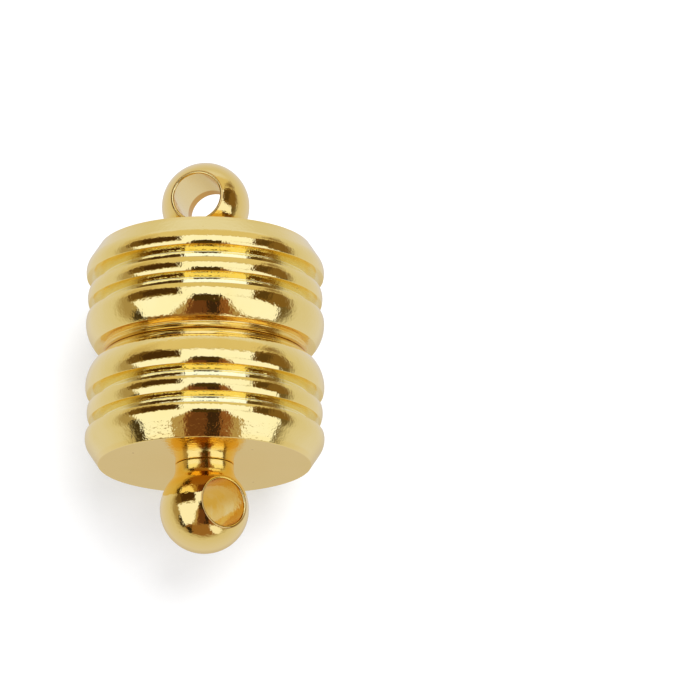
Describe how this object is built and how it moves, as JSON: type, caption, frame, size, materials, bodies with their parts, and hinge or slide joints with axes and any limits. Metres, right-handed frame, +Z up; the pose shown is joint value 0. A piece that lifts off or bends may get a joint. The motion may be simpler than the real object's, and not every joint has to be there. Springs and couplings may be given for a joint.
{
  "type": "magnetic clasp",
  "caption": "Column magnetic jewellery clasp: ribbed gold-plated halves that pull apart and swivel, a disc magnet in each, and a drilled ball loop at each end.",
  "frame": {"origin": "on the surface that the clasp lies on, under the middle of the seam", "axes": "+Z up, +Y along the clasp's axis from the seam to the rear loop, +X to the right as seen from the front loop"},
  "size_m": [0.01, 0.017, 0.01],
  "materials": {
    "gold_plate": "mirror-polished pale gold plate over turned brass",
    "nickel_plate": "bright nickel plate over a sintered magnet"
  },
  "bodies": {
    "rear_half": {"rear_cup": "gold_plate", "rear_loop": "gold_plate", "rear_magnet": "nickel_plate"},
    "front_carrier": {"front_magnet": "nickel_plate"},
    "front_half": {"front_cup": "gold_plate", "front_loop": "gold_plate"}
  },
  "joints": [
    {"name": "pull_apart", "type": "slide", "parent": "rear_half", "child": "front_carrier", "axis": [0, -1, 0], "range_m": [0, 0.02]},
    {"name": "swivel", "type": "hinge", "parent": "front_carrier", "child": "front_half", "pos_m": [0, 0, 0.005], "axis": [0, -1, 0], "continuous": true}
  ]
}
